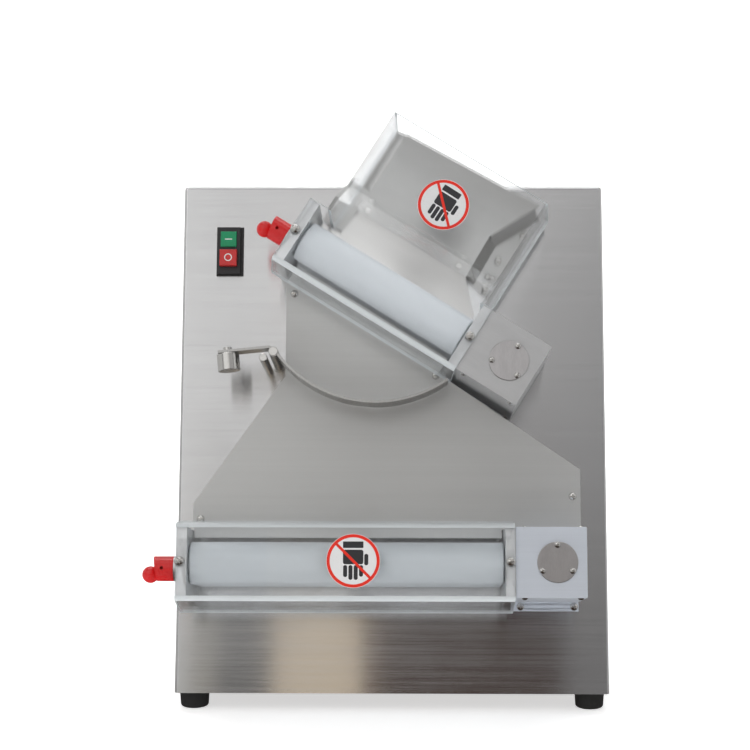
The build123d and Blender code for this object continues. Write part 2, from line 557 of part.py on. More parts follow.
    # gearbox
    w = 2.0
    housing = box(a_out, a_end, 0, UNIT_H, 0, UNIT_D - SHEET)
    housing -= box(a_out - 1, a_end - w, w, UNIT_H - w, w, UNIT_D)
    housing += box(a_out, a_end, -9, 0.5, 0, SHEET)
    housing += cyl_z(d_a, AXIS_B, -SHEET, w + 2, 10)
    housing -= cyl_z(d_a, AXIS_B, -10, 10, 5 + RUN)
    housing -= cyl_x(shaft_b, FRONT_C, a_end - 5, a_end + 1, 4 + RUN)
    shell -= loc * cyl_z(d_a, AXIS_B, -3, 1, 10)
    door = box(a_out, a_end, 0, UNIT_H, UNIT_D - SHEET, UNIT_D)
    corners = [e for e in door.edges() if abs(e.length - SHEET) < 0.01 and e.center().X > a_out + 5]
    door = fillet(corners, 1.2)
    door += box(a_out + 4, a_end - 2.2, w, w + SHEET, UNIT_D - 14, UNIT_D - SHEET)
    door += box(a_out + 4, a_end - 2.2, UNIT_H - w - SHEET, UNIT_H - w, UNIT_D - 14, UNIT_D - SHEET)
    round_a = a_out + 38.9
    door -= cyl_z(round_a, AXIS_B, UNIT_D - 5, UNIT_D + 5, 13)
    lid = cyl_z(round_a, AXIS_B, UNIT_D, UNIT_D + 1.2, 19.2)
    lid_rim = [e for e in lid.edges() if e.center().Z > UNIT_D + 1]
    lid = chamfer(lid_rim, 0.4)
    small_screws = None
    for k in range(3):
        ang = math.radians(90 + 120 * k)
        x = round_a + 16.3 * math.cos(ang)
        y = AXIS_B + 16.3 * math.sin(ang)
        lid -= cyl_z(x, y, UNIT_D - 1, UNIT_D + 3, 1.5)
        door -= cyl_z(x, y, UNIT_D - 5, UNIT_D + 3, 1.5)
        s = Pos(x, y, UNIT_D + 1.2) * Rot(0, 0, 30 * k) * screw(1.5, 3, 3.1, 1.9)
        small_screws = s if small_screws is None else small_screws + s
    for a in (a_out + 8.5, a_out + 61.0):
        for y, rx in ((UNIT_H, -90), (0, 90)):
            s = Pos(a, y, UNIT_D - 9) * Rot(rx, 0, 0) * screw(1.5, 3.4, 3.1, 1.9)
            small_screws += s
        housing -= cyl_y(a, UNIT_D - 9, -1, UNIT_H + 1, 1.5)
        door -= cyl_y(a, UNIT_D - 9, -1, UNIT_H + 1, 1.5)
        housing -= cyl_z(a + 1.0, -4.4, -1, 3, M4)
        shell -= loc * cyl_z(a + 1.0, -4.4, -3, 1, M4)
        s = Pos(a + 1.0, -4.4, SHEET) * screw(M4, 8, 3.9, 2.6)
        local = Pos(LOWER_AT[0], LOWER_AT[1], 0)
        if name == "upper":
            local = Pos(UPPER_AT[0], UPPER_AT[1], 0) * Rot(0, 0, -UPPER_TILT)
        panel_screws += local * s

    # guard: a folded clear sheet, with a flared lip below
    g = GUARD_T
    d = UNIT_D
    if name == "lower":
        prof = [(-lip_drop, LIP_C), (0, d), (UNIT_H, d), (UNIT_H + 5.4, FEED_C),
                (UNIT_H + 5.4 + g, FEED_C), (UNIT_H + g, d + g), (-g, d + g), (-lip_drop - g, LIP_C)]
        guard = prism_x(prof, -0.5, a_out - 0.7)
        folds = [e for e in guard.edges() if e.length > 100 and e.center().Z > d - 0.5]
        outer_folds = [e for e in folds if e.center().Z > d + 1]
        guard = fillet(outer_folds, 5.0)
    else:
        prof = [(-lip_drop, FEED_C), (0, d), (UNIT_H + 0.6, d), (UNIT_H + 0.6, d + g), (-g, d + g),
                (-lip_drop - g, FEED_C)]
        guard = prism_x(prof, -0.5, a_out - 0.2)
        long_edges = [e for e in guard.edges() if e.length > 100 and e.center().Z > d + 1]
        outer_folds = [e for e in long_edges if e.center().Y < 0]
        guard = fillet(outer_folds, 5.0)
        hb, hc, h0, h1 = HOOD_B, HOOD_C, HOOD_A0, HOOD_A1
        mid_b, top_b = 81.0, 102.0
        # the hood is a front sheet and two cheeks, open at the top where the dough goes in
        prof = [(60, d), (mid_b - 1.24, d), (top_b - 1.24, hc - g), (hb, hc - g), (hb, hc), (top_b, hc),
                (mid_b, d + g), (60, d + g)]
        hood = prism_x(prof, h0, h1)
        inside = [(UNIT_H + 0.6, HOOD_BACK), (hb, HOOD_BACK), (hb, hc), (top_b, hc), (mid_b, d + g),
                  (UNIT_H + 0.6, d + g)]
        hood += prism_x(inside, h0, h0 + g)
        flare = math.degrees(math.atan2(5.5, hc - HOOD_BACK))
        cheek = prism_x([(UNIT_H + 0.6, HOOD_BACK - hc), (hb, HOOD_BACK - hc), (hb, 0), (top_b, 0),
                         (UNIT_H + 0.6, 0)], -g, 0)
        hood += Pos(h1, 0, hc) * Rot(0, -flare, 0) * cheek
        hood += prism_x([(UNIT_H + 0.6, hc - 1), (top_b, hc - 1), (top_b, hc), (mid_b, d + g),
                         (UNIT_H + 0.6, d + g)], h1 - g, h1)
        guard += hood
        guard -= box(-5, 300, 150, 200, -40, HOOD_BACK)
    for a in (3.4, a_out - 4.6):
        guard -= cyl_z(a, AXIS_B, d - 5, d + g + 5, M5)
    disc_a = 165.8 if name == "lower" else 108.8
    disc_b = 33.6 if name == "lower" else 133.0
    disc_c = d + g if name == "lower" else HOOD_C
    disc = cyl_z(disc_a, disc_b, disc_c, disc_c + 0.4, 25.25)

    group = {"left_block": left, "right_block": right, "bearing_carriers": carriers,
             "eccentric_shaft": shaft, "gap_knob": knob, "pull_pin": pull, "front_roller": front,
             "rear_roller": rear, "front_gear": front_gear, "rear_gears": rear_gears,
             "drive_shaft": drive, "gearbox_housing": housing, "gearbox_door": door,
             "round_lid": lid, "small_screws": small_screws, "guard": guard, "guard_screws": guard_screws}
    for key, solid in group.items():
        nodes[name + "_" + key] = loc * solid
    placed_bolts = loc * block_screws
    placed_disc = loc * disc
    nodes["block_screws"] = placed_bolts if name == "lower" else nodes["block_screws"] + placed_bolts
    nodes["sign_discs"] = placed_disc if name == "lower" else nodes["sign_discs"] + placed_disc

nodes["body_shell"] = shell
nodes["base_plate"] = base
nodes["feet"] = feet
nodes["rear_cover"] = cover
nodes["power_inlet"] = inlet
nodes["hopper_plate"] = UPPER * hopper
nodes["hopper_ramp"] = UPPER * ramp
for key, solid in {"chute_plate": chute, "standoffs": standoffs, "pivot_post": pivot_post,
                   "stop_post": stop_post, "pendulum": pendulum, "counterweight": weight,
                   "switch_frame": switch, "start_button": start_button, "stop_button": stop_button,
                   "motor": motor, "motor_plate": motor_plate, "motor_pulley": motor_pulley,
                   "lower_belt": lower_belt, "upper_belt": upper_belt}.items():
    nodes[key] = FACE * solid
screws = FACE * panel_screws
for s in cover_screws:
    screws += s
nodes["panel_screws"] = screws

# the origin is the middle of the whole machine's footprint, on the floor
bounds = Compound(children=[Compound(list(n.solids())) for n in nodes.values()]).bounding_box()
shift = Pos(-(bounds.min.X + bounds.max.X) / 2, -(bounds.min.Y + bounds.max.Y) / 2, -bounds.min.Z)
for key, solid in nodes.items():
    pieces = solid.solids()
    placed = pieces[0] if len(pieces) == 1 else Compound(pieces)
    export_step(shift * placed, "parts/" + key + ".step")
print(len(nodes), "nodes, shift", tuple(round(v, 4) for v in shift.position))
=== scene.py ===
import json
import math
import bpy
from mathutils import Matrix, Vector


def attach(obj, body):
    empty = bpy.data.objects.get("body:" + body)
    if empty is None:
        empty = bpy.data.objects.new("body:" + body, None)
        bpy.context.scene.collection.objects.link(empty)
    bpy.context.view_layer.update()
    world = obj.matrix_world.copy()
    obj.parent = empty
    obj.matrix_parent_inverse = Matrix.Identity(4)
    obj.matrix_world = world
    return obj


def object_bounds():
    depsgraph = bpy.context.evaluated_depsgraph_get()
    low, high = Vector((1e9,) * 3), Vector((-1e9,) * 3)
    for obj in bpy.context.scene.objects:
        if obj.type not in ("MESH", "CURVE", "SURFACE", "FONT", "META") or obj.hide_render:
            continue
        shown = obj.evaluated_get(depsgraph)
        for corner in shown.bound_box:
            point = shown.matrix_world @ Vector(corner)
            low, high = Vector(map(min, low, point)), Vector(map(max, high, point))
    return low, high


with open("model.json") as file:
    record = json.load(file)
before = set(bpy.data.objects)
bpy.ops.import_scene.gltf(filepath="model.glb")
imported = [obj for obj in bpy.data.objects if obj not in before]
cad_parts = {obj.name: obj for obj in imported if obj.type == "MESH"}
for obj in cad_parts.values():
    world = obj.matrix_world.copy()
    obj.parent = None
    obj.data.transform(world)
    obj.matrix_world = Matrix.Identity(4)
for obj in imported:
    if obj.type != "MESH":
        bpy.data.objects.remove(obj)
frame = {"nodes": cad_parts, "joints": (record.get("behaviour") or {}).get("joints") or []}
CAD_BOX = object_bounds()
NODES = frame["nodes"]
JOINTS = {j["name"]: j for j in frame["joints"]}

# Directions of the machine, from its own joints: X along the lower rollers, N out of the
# leaning face, UP along the face, and the two roller axes.
AXIS_X = Vector((1, 0, 0))
N = Vector(JOINTS["pendulum_swing"]["axis"]).normalized()
UP = N.cross(AXIS_X).normalized()
LOWER_A = Vector(JOINTS["lower_rear_spin"]["axis"]).normalized()
UPPER_A = Vector(JOINTS["upper_rear_spin"]["axis"]).normalized()
MM = 0.001
HAIR = 0.0002            # metres: a gap too small to see
SHEET_EDGE = 0.0036      # faces of the clear sheets narrower than this are cut edges
EDGE_ROUND = 0.0005      # rounding of machined and folded edges


# ---- materials -----------------------------------------------------------
class Mat:
    """A node material with a Principled shader and short helpers."""

    def __init__(self, name, color, rough, metallic=0.0, **sockets):
        self.mat = bpy.data.materials.new(name)
        self.mat.use_nodes = True
        self.mat.diffuse_color = (*color, 1.0)
        self.nt = self.mat.node_tree
        self.bsdf = self.nt.nodes["Principled BSDF"]
        self.bsdf.inputs["Base Color"].default_value = (*color, 1.0)
        self.bsdf.inputs["Roughness"].default_value = rough
        self.bsdf.inputs["Metallic"].default_value = metallic
        for key, value in sockets.items():
            self.bsdf.inputs[key.replace("_", " ")].default_value = value

    def node(self, kind, **settings):
        n = self.nt.nodes.new(kind)
        for key, value in settings.items():
            setattr(n, key, value)
        return n

    def link(self, a, b):
        self.nt.links.new(a, b)

    def noise(self, scale, stretch=(1, 1, 1), turn=(0, 0, 0), detail=2.0, rough=0.5):
        """Noise in object coordinates, in features per metre."""
        tc = self.node("ShaderNodeTexCoord")
        turned = self.node("ShaderNodeMapping", vector_type="POINT")
        turned.inputs["Rotation"].default_value = turn
        mp = self.node("ShaderNodeMapping", vector_type="POINT")
        mp.inputs["Scale"].default_value = stretch
        n = self.node("ShaderNodeTexNoise")
        n.inputs["Scale"].default_value = scale
        n.inputs["Detail"].default_value = detail
        n.inputs["Roughness"].default_value = rough
        self.link(tc.outputs["Object"], turned.inputs["Vector"])
        self.link(turned.outputs["Vector"], mp.inputs["Vector"])
        self.link(mp.outputs["Vector"], n.inputs["Vector"])
        return n.outputs["Fac"]

    def ranged(self, value, low, high, src=(0.3, 0.7)):
        m = self.node("ShaderNodeMapRange")
        m.inputs["From Min"].default_value = src[0]
        m.inputs["From Max"].default_value = src[1]
        m.inputs["To Min"].default_value = low
        m.inputs["To Max"].default_value = high
        self.link(value, m.inputs["Value"])
        return m.outputs["Result"]

    def add(self, a, b):
        m = self.node("ShaderNodeMath", operation="ADD")
        self.link(a, m.inputs[0])
        self.link(b, m.inputs[1])
        return m.outputs[0]

    def tint(self, value, dark, light):
        r = self.node("ShaderNodeValToRGB")
        r.color_ramp.elements[0].color = (*dark, 1)
        r.color_ramp.elements[1].color = (*light, 1)
        r.color_ramp.elements[0].position = 0.25
        r.color_ramp.elements[1].position = 0.75
        self.link(value, r.inputs["Fac"])
        self.link(r.outputs["Color"], self.bsdf.inputs["Base Color"])

    def rough(self, value):
        self.link(value, self.bsdf.inputs["Roughness"])

    def bump(self, value, distance, strength=1.0):
        b = self.node("ShaderNodeBump")
        b.inputs["Distance"].default_value = distance
        b.inputs["Strength"].default_value = strength
        self.link(value, b.inputs["Height"])
        self.link(b.outputs["Normal"], self.bsdf.inputs["Normal"])

    def across(self, axis):
        """Highlights stretch across the brush lines, which run along axis."""
        geo = self.node("ShaderNodeNewGeometry")
        vm = self.node("ShaderNodeVectorMath", operation="CROSS_PRODUCT")
        vm.inputs[1].default_value = tuple(axis)
        # the small fixed part serves the faces that the brush axis meets square
        lean = self.node("ShaderNodeVectorMath", operation="ADD")
        lean.inputs[1].default_value = (0.0, 0.003, 0.01)
        self.link(geo.outputs["Normal"], vm.inputs[0])
        self.link(vm.outputs["Vector"], lean.inputs[0])
        self.link(lean.outputs["Vector"], self.bsdf.inputs["Tangent"])


def shade(color, k):
    return tuple(c * k for c in color)


def brushed(name, color, rough, axis, anis=1.0, streak=0.05, grain=0.00008, metallic=1.0):
    """Sheet steel brushed along axis: fine streaks in tone, roughness and bump."""
    m = Mat(name, color, rough, metallic, Anisotropic=anis)
    turn = (0, math.atan2(axis.z, axis.x), 0)
    fine = m.noise(1.0, (7, 900, 900), turn, 3.0, 0.6)
    coarse = m.noise(1.0, (2.5, 130, 130), turn, 2.0)
    cloud = m.noise(9.0, detail=3.0)
    both = m.add(m.ranged(fine, 0, 0.5), m.ranged(coarse, 0, 0.5))
    m.tint(both, shade(color, 1 - streak), shade(color, 1 + streak * 0.6))
    m.rough(m.add(m.ranged(fine, rough - 0.03, rough + 0.03), m.ranged(cloud, -0.02, 0.02)))
    m.bump(fine, grain)
    m.across(axis)
    return m.mat


def satin(name, color, rough, scale=1400, depth=0.00001, metallic=1.0, spread=0.06):
    """Fine-grained satin surface, as on anodised blocks or moulded parts."""
    m = Mat(name, color, rough, metallic)
    fine = m.noise(scale, detail=2.0)
    cloud = m.noise(14.0, detail=3.0)
    m.tint(cloud, shade(color, 1 - spread), shade(color, 1 + spread * 0.5))
    m.rough(m.ranged(fine, rough - 0.04, rough + 0.06))
    m.bump(fine, depth)
    return m.mat


def turned(name, color, rough, axis):
    """Turned plastic: faint rings round the axis."""
    m = Mat(name, color, rough, 0.0, Specular_IOR_Level=0.4)
    turn = (0, math.atan2(axis.z, axis.x), 0)
    rings = m.noise(1.0, (900, 12, 12), turn, 2.0)
    cloud = m.noise(11.0, (1, 1, 1), (0, 0, 0), 4.0)
    m.tint(cloud, shade(color, 0.965), shade(color, 1.0))
    m.rough(m.add(m.ranged(rings, rough - 0.05, rough + 0.05), m.ranged(cloud, -0.04, 0.05)))
    m.bump(rings, 0.000015)
    return m.mat


def clear(name):
    """Clear sheet with a very slight unevenness."""
    m = Mat(name, (0.955, 0.97, 0.98), 0.0, 0.0, Transmission_Weight=1.0, IOR=1.14, Coat_Weight=0.8,
            Coat_Roughness=0.02, Alpha=0.55)
    m.bump(m.noise(9.0, detail=1.0), 0.0002)
    return m.mat


MAT = {
    "body": brushed("cabinet_steel", (0.67, 0.67, 0.675), 0.16, AXIS_X, 1.0, 0.02, 0.00001),
    "chute": brushed("chute_steel", (0.60, 0.603, 0.598), 0.45, AXIS_X, 0.5, 0.02, 0.00001, 0.5),
    # both units are one steel: the lower unit's lighter, bluer base colour is painted reflected light, the
    # upper unit's darker one painted shade
    "low": brushed("lower_steel_painted_light", (0.76, 0.81, 0.89), 0.42, LOWER_A, 0.6, 0.02, 0.00001, 0.4),
    "up": brushed("upper_steel", (0.60, 0.605, 0.615), 0.40, UPPER_A, 0.6, 0.03, 0.00001, 0.5),
    # hopper plate and ramp are one steel: the plate's darker base colour is painted shade, the ramp's
    # lighter one is painted light from above, since it tilts upward
    "hop": brushed("hopper_steel_painted_shade", (0.47, 0.467, 0.46), 0.38, UPPER_A, 0.6, 0.03, 0.000015),
    "ramp": brushed("ramp_steel_painted_light", (0.62, 0.61, 0.60), 0.38, UPPER_A, 0.6, 0.03, 0.000015),
    "lid": brushed("lid_steel", (0.60, 0.585, 0.59), 0.40, UP, 0.6, 0.06, 0.000015),
    # the pendulum strip gets a darker base colour than the bright steel of its posts: painted shade
    "strip": satin("strip_steel_painted_shade", (0.47, 0.465, 0.455), 0.28, 900, 0.000006),
    "edge": satin("sheet_edge", (0.70, 0.74, 0.76), 0.35, 900, 0.000006, 0.0),
    "alu": satin("satin_aluminium", (0.72, 0.73, 0.74), 0.38),
    "bright": satin("bright_steel", (0.66, 0.65, 0.63), 0.22, 900, 0.000006),
    # the rollers are white acetal; their grey-blue base colours are painted shade, and the upper rollers are
    # painted lighter than the lower, a painted highlight from the haze in the guard
    "acetal_low": turned("lower_acetal_painted_shade", (0.50, 0.53, 0.555), 0.42, LOWER_A),
    "acetal_up": turned("upper_acetal_painted_shade", (0.60, 0.63, 0.66), 0.42, UPPER_A),
    "clear": clear("clear_sheet"),
    "red": satin("red_plastic", (0.72, 0.012, 0.014), 0.28, 1100, 0.000008, 0.0),
    "green": satin("green_plastic", (0.0, 0.30, 0.12), 0.32, 1100, 0.000008, 0.0),
    "stop": satin("stop_plastic", (0.62, 0.03, 0.03), 0.34, 1100, 0.000008, 0.0),
    "black": satin("black_plastic", (0.018, 0.018, 0.02), 0.42, 1300, 0.00002, 0.0),
    "rubber": satin("foot_rubber", (0.022, 0.022, 0.022), 0.62, 700, 0.00004, 0.0),
    "belt": satin("belt_rubber", (0.03, 0.03, 0.03), 0.7, 500, 0.00005, 0.0),
    "motor": satin("motor_paint", (0.16, 0.18, 0.21), 0.45, 400, 0.00004, 0.0),
    "film": satin("sign_film", (0.93, 0.93, 0.94), 0.30, 600, 0.000004, 0.0, 0.02),
    "print_red": satin("print_red", (0.95, 0.03, 0.012), 0.35, 600, 0.000002, 0.0),
    "print_dark": satin("print_dark", (0.03, 0.03, 0.035), 0.4, 600, 0.000002, 0.0),
    "print_white": satin("print_white", (0.85, 0.87, 0.86), 0.4, 600, 0.000002, 0.0, 0.02),
}

# which material each CAD node wears
WEARS = {
    "body_shell": "body", "base_plate": "body", "rear_cover": "body", "feet": "rubber",
    "power_inlet": "black", "chute_plate": "chute", "standoffs": "bright", "panel_screws": "bright",
    "pivot_post": "bright", "stop_post": "bright", "switch_frame": "black",
    "start_button": "green", "stop_button": "stop", "hopper_plate": "hop", "hopper_ramp": "ramp",
    "motor": "motor", "motor_plate": "body", "motor_pulley": "alu", "lower_belt": "belt",
    "upper_belt": "belt", "block_screws": "bright", "sign_discs": "film", "pendulum": "strip",
    "counterweight": "bright",
}
for unit, steel, acetal in (("lower", "low", "acetal_low"), ("upper", "up", "acetal_up")):
    for part, key in {
        "left_block": "alu", "right_block": "alu", "bearing_carriers": acetal,
        "eccentric_shaft": "bright", "gap_knob": "red", "pull_pin": "red", "front_roller": acetal,
        "rear_roller": acetal, "front_gear": "bright", "rear_gears": "bright", "drive_shaft": "bright",
        "gearbox_housing": steel, "gearbox_door": steel, "round_lid": "lid", "small_screws": "bright",
        "guard": "clear", "guard_screws": "bright",
    }.items():
        WEARS[unit + "_" + part] = key
for name, obj in NODES.items():
    obj.data.materials.clear()
    obj.data.materials.append(MAT[WEARS[name]])


# ---- edges ---------------------------------------------------------------
def thin_regions(mesh, limit):
    """Flat patches narrower than limit: the cut edges of a sheet."""
    key = [tuple(round(c, 5) for c in v.co) for v in mesh.vertices]
    sides = {}
    for poly in mesh.polygons:
        ids = [key[i] for i in poly.vertices]
        for i in range(len(ids)):
            pair = frozenset((ids[i], ids[i - 1]))
            if len(pair) == 2:
                sides.setdefault(pair, []).append(poly.index)
    near = {}
    for pair, polys in sides.items():
        for a in polys:
            for b in polys:
                if a != b and mesh.polygons[a].normal.dot(mesh.polygons[b].normal) > 0.9999:
                    near.setdefault(a, set()).add(b)
    seen, thin = set(), []
    for start in range(len(mesh.polygons)):
        if start in seen:
            continue
        patch, queue = {start}, [start]
        while queue:
            for b in near.get(queue.pop(), ()):
                if b not in patch:
                    patch.add(b)
                    queue.append(b)
        seen |= patch
        area = sum(mesh.polygons[i].area for i in patch)
        rim = 0.0
        for pair, polys in sides.items():
            if sum(1 for i in polys if i in patch) == 1:
                a, b = tuple(pair)
                rim += (Vector(a) - Vector(b)).length
        if rim > 0 and 2 * area / rim < limit and area > 1e-5:
            thin += list(patch)
    return thin


# the cut edges of the clear sheets scatter light and look pale
for unit in ("lower_", "upper_"):
    mesh = NODES[unit + "guard"].data
    mesh.materials.append(MAT["edge"])
    for i in thin_regions(mesh, SHEET_EDGE):
        mesh.polygons[i].material_index = 1

# worn, slightly broken edges on the machined and folded pieces
SOFT_EDGES = ["left_block", "right_block", "gearbox_housing", "gearbox_door"]
for unit in ("lower_", "upper_"):
    for part in SOFT_EDGES:
        obj = NODES[unit + part]
        if obj.data.attributes.get("custom_normal"):
            obj.data.attributes.remove(obj.data.attributes["custom_normal"])
        for poly in obj.data.polygons:
            poly.use_smooth = True
        weld = obj.modifiers.new("weld", "WELD")
        weld.merge_threshold = 0.01 * MM
        edge = obj.modifiers.new("edge", "BEVEL")
        edge.width = EDGE_ROUND
        edge.segments = 2
        edge.limit_method = "ANGLE"
        edge.angle_limit = math.radians(40)
        edge.harden_normals = True


# ---- small printed pieces ------------------------------------------------
def flat_piece(name, outlines, origin, right, up, thick, body, mat):
    """Thin raised shapes, given as closed outlines in mm, lying on a plane with its own axes."""
    normal = right.cross(up)
    verts, faces = [], []
    for outline in outlines:
        n = len(outline)
        base = len(verts)
        for lift in (0.0, thick):
            for x, y in outline:
                verts.append(origin + right * x * MM + up * y * MM + normal * lift * MM)
        faces.append([base + n + i for i in range(n)])
        faces.append([base + n - 1 - i for i in range(n)])
        for i in range(n):
            j = (i + 1) % n
            faces.append([base + i, base + j, base + n + j, base + n + i])
    mesh = bpy.data.meshes.new(name)
    mesh.from_pydata([tuple(v) for v in verts], [], faces)
    mesh.materials.append(MAT[mat])
    obj = bpy.data.objects.new(name, mesh)
    bpy.context.scene.collection.objects.link(obj)
    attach(obj, body)
    return obj


def ring(r0, r1, cx=0.0, cy=0.0, parts=48):
    """A ring as quads, so that its hole stays open."""
    quads = []
    for i in range(parts):
        a = 2 * math.pi * i / parts
        b = 2 * math.pi * (i + 1) / parts
        quads.append([(cx + r1 * math.cos(a), cy + r1 * math.sin(a)),
                      (cx + r1 * math.cos(b), cy + r1 * math.sin(b)),
                      (cx + r0 * math.cos(b), cy + r0 * math.sin(b)),
                      (cx + r0 * math.cos(a), cy + r0 * math.sin(a))])
    return quads


def bar(x0, y0, x1, y1, w):
    d = Vector((x1 - x0, y1 - y0)).normalized()
    s = Vector((-d.y, d.x)) * w / 2
    return [(x0 - s.x, y0 - s.y), (x1 - s.x, y1 - s.y), (x1 + s.x, y1 + s.y), (x0 + s.x, y0 + s.y)]


def rounded(cx, cy, w, h, r, parts=5):
    """A rounded rectangle."""
    pts = []
    for sx, sy, start in ((1, 1, 0), (-1, 1, 90), (-1, -1, 180), (1, -1, 270)):
        for i in range(parts + 1):
            a = math.radians(start + 90 * i / parts)
            pts.append((cx + sx * (w / 2 - r) + r * math.cos(a), cy + sy * (h / 2 - r) + r * math.sin(a)))
    return pts


def ring_slash(r0, r1, angle, w):
    d = (math.cos(math.radians(angle)) * (r0 + 0.5), math.sin(math.radians(angle)) * (r0 + 0.5))
    return ring(r0, r1) + [bar(-d[0], -d[1], d[0], d[1], w)]


def mitten():
    """A plain generic hand of blocks, fingers down."""
    shapes = [rounded(0, 15.0, 19.0, 6.0, 0.6), rounded(0, 3.6, 19.0, 13.5, 2.0)]
    for i, drop in enumerate((11.0, 13.6, 13.6, 10.6)):
        shapes.append(rounded(-7.4 + i * 4.93, -4.0 - drop / 2, 3.7, drop, 1.7))
    shapes.append(rounded(12.2, 1.2, 3.7, 10.5, 1.7))
    return shapes


def turned_by(outlines, degrees):
    c, s = math.cos(math.radians(degrees)), math.sin(math.radians(degrees))
    return [[(x * c - y * s, x * s + y * c) for x, y in o] for o in outlines]


INK = 0.06               # mm: how far the print stands up
RING_W = 2.9             # mm: width of the printed ring
RING_INSET = 0.4         # mm: ring to the edge of its disc
SLASH_W = 2.6
SIGNS = (("lower", 0.0, -45), ("upper", -33.0, -77))     # unit, turn of the hand, turn of the slash

disc_points = [v.co.copy() for v in NODES["sign_discs"].data.vertices]
split = (min(p.z for p in disc_points) + max(p.z for p in disc_points)) / 2
for unit, turn, slash in SIGNS:
    own = [p for p in disc_points if (p.z < split) == (unit == "lower")]
    level = max(p.dot(N) for p in own)
    across = [p.dot(AXIS_X) for p in own]
    along = [p.dot(UP) for p in own]
    centre = (AXIS_X * (min(across) + max(across)) / 2 + UP * (min(along) + max(along)) / 2 + N * level)
    radius = (max(across) - min(across)) / 2 / MM
    flat_piece(unit + "_sign_hand", turned_by(mitten(), turn), centre, AXIS_X, UP, INK,
               "cabinet", "print_dark")
    outer = radius - RING_INSET
    flat_piece(unit + "_sign_ring", ring_slash(outer - RING_W, outer, slash, SLASH_W),
               centre + N * 0.07 * MM, AXIS_X, UP, 0.05, "cabinet", "print_red")


def top_of(node):
    """The middle of a node's outermost face along N."""
    pts = [v.co.copy() for v in NODES[node].data.vertices]
    level = max(p.dot(N) for p in pts)
    top = [p for p in pts if p.dot(N) > level - 0.0003]
    x = [p.dot(AXIS_X) for p in top]
    y = [p.dot(UP) for p in top]
    return AXIS_X * (min(x) + max(x)) / 2 + UP * (min(y) + max(y)) / 2 + N * level


flat_piece("start_mark", [bar(-3.6, 0, 3.6, 0, 1.1)], top_of("start_button"), AXIS_X, UP, 0.05,
           "start_button", "print_white")
flat_piece("stop_mark", ring(2.9, 3.9, parts=32), top_of("stop_button"), AXIS_X, UP, 0.05,
           "stop_button", "print_white")


# ---- studio --------------------------------------------------------------
FLOOR_Z = CAD_BOX[0].z - HAIR
MIDDLE = (CAD_BOX[0] + CAD_BOX[1]) / 2
CARD_Y = -1.63           # the room card stands here, in front of the machine
SPLIT_Z = 0.71           # soft light above this height on the card, dim room below it
FRONT_Y = -1.3           # near end of the paper floor
SWEEP_Y = 2.0            # the paper starts to curve up here
SWEEP_R = 1.2
SWEEP_TOP = 6.0
ROOM_X = 2.6             # side walls of the room
ROOM_Y = (-1.4, 2.4)     # their front end and the back wall
SURROUND = 9.0
BENCH_X = 0.3            # half width of the dark worktop in front


def ease(t):
    """Smooth step from 0 to 1."""
    t = min(1.0, max(0.0, t))
    return t * t * (3 - 2 * t)


def emitter(name, centre, size, aim, color, power):
    """A soft panel of light."""
    light = bpy.data.lights.new(name, "AREA")
    light.shape = "RECTANGLE"
    light.size, light.size_y = size
    light.color = color
    light.energy = power
    obj = bpy.data.objects.new(name, light)
    obj.location = centre
    obj.rotation_euler = (Vector(aim) - Vector(centre)).to_track_quat("-Z", "Y").to_euler()
    obj.visible_camera = False
    bpy.context.scene.collection.objects.link(obj)


def stage_mesh(name, verts, faces, material):
    mesh = bpy.data.meshes.new(name)
    mesh.from_pydata(verts, [], faces)
    mesh.materials.append(material)
    obj = bpy.data.objects.new(name, mesh)
    bpy.context.scene.collection.objects.link(obj)
    return obj


def glow(name, color, strength):
    m = bpy.data.materials.new(name)
    m.use_nodes = True
    m.node_tree.nodes.clear()
    e = m.node_tree.nodes.new("ShaderNodeEmission")
    out = m.node_tree.nodes.new("ShaderNodeOutputMaterial")
    e.inputs["Color"].default_value = (*color, 1)
    e.inputs["Strength"].default_value = strength
    m.node_tree.links.new(e.outputs[0], out.inputs["Surface"])
    return m


def grid_faces(rows, columns):
    """Quads between points laid out row by row."""
    return [(r * columns + c, r * columns + c + 1, (r + 1) * columns + c + 1, (r + 1) * columns + c)
            for r in range(rows - 1) for c in range(columns - 1)]


def toned(name, verts, faces, tone_at):
    """A stage panel with a tone at each corner, seen only in reflections and as soft light."""
    mat = glow(name + "_glow", (1, 1, 1), 1.0)
    obj = stage_mesh(name, verts, faces, mat)
    tones = obj.data.color_attributes.new("tone", "FLOAT_COLOR", "POINT")
    for k, v in enumerate(verts):
        tones.data[k].color = (*tone_at(v), 1.0)
    source = mat.node_tree.nodes.new("ShaderNodeAttribute")
    source.attribute_name = "tone"
    for node in mat.node_tree.nodes:
        if node.bl_idname == "ShaderNodeEmission":
            mat.node_tree.links.new(source.outputs["Color"], node.inputs["Color"])
    obj.visible_camera = False
    obj.visible_transmission = False
    obj.visible_shadow = False
    return obj


# white paper: a floor that sweeps up into a back wall
profile = [(0.0, 0.0), (SWEEP_Y, 0.0)]
for i in range(1, 13):
    a = math.radians(90 * i / 12)
    profile.append((SWEEP_Y + SWEEP_R * math.sin(a), SWEEP_R - SWEEP_R * math.cos(a)))
profile.append((SWEEP_Y + SWEEP_R, SWEEP_TOP))
PAPER_X = 7.0
verts = [(x, y, FLOOR_Z + z) for x in (-PAPER_X, PAPER_X) for y, z in profile]
paper = Mat("studio_paper", (0.93, 0.93, 0.93), 0.9, Emission_Color=(1, 1, 1, 1), Emission_Strength=0.6)
sweep = stage_mesh("studio_sweep", verts, grid_faces(2, len(profile)), paper.mat)
for poly in sweep.data.polygons:
    poly.use_smooth = True
sweep.visible_glossy = False
verts = [(x, y, FLOOR_Z) for x in (-PAPER_X, PAPER_X) for y in (FRONT_Y, 0.0)]
front_floor = stage_mesh("studio_floor_front", verts, [(0, 1, 3, 2)], paper.mat)
front_floor.visible_glossy = False

